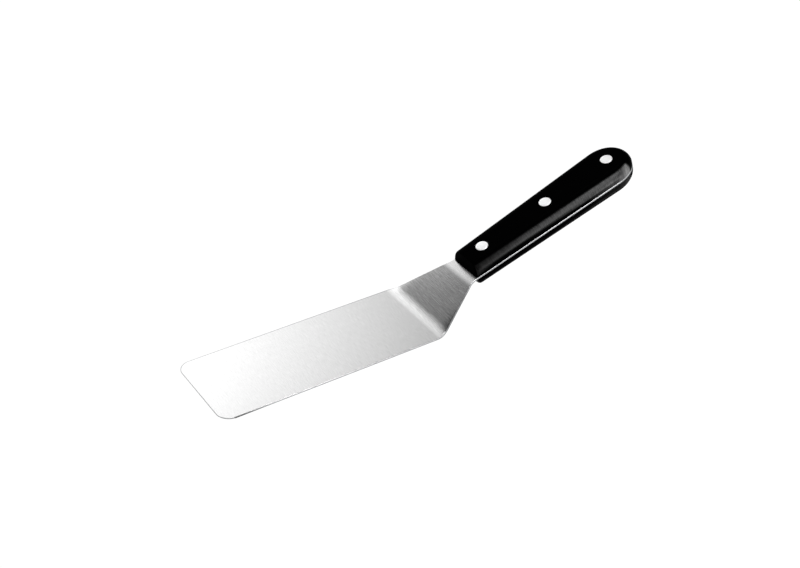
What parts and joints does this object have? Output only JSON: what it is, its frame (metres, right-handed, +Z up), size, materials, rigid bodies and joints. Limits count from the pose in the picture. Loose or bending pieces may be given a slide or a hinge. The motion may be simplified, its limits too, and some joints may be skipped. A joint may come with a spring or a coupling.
{
  "type": "flexible offset spatula",
  "caption": "Flexible offset spatula: a thin steel blade with rounded corners, cranked up to a full-tang handle with riveted black scales.",
  "frame": {"origin": "under the middle of the whole tool, on the plane of the blade's underside", "axes": "+X along the tool from the blade's tip to the handle's butt, +Y across the blade, +Z up off the blade's upper face"},
  "size_m": [0.2858, 0.054, 0.0643],
  "materials": {
    "steel": "fine grain brushed across the blade",
    "handle": "black moulded plastic with a satin sheen",
    "rivet": "polished flush with the scales"
  },
  "bodies": {
    "root": {"blade": "steel", "upper_scale": "handle", "lower_scale": "handle", "front_rivet_sleeve": "rivet", "front_rivet_pin": "rivet", "middle_rivet_sleeve": "rivet", "middle_rivet_pin": "rivet", "rear_rivet_sleeve": "rivet", "rear_rivet_pin": "rivet"}
  },
  "joints": []
}
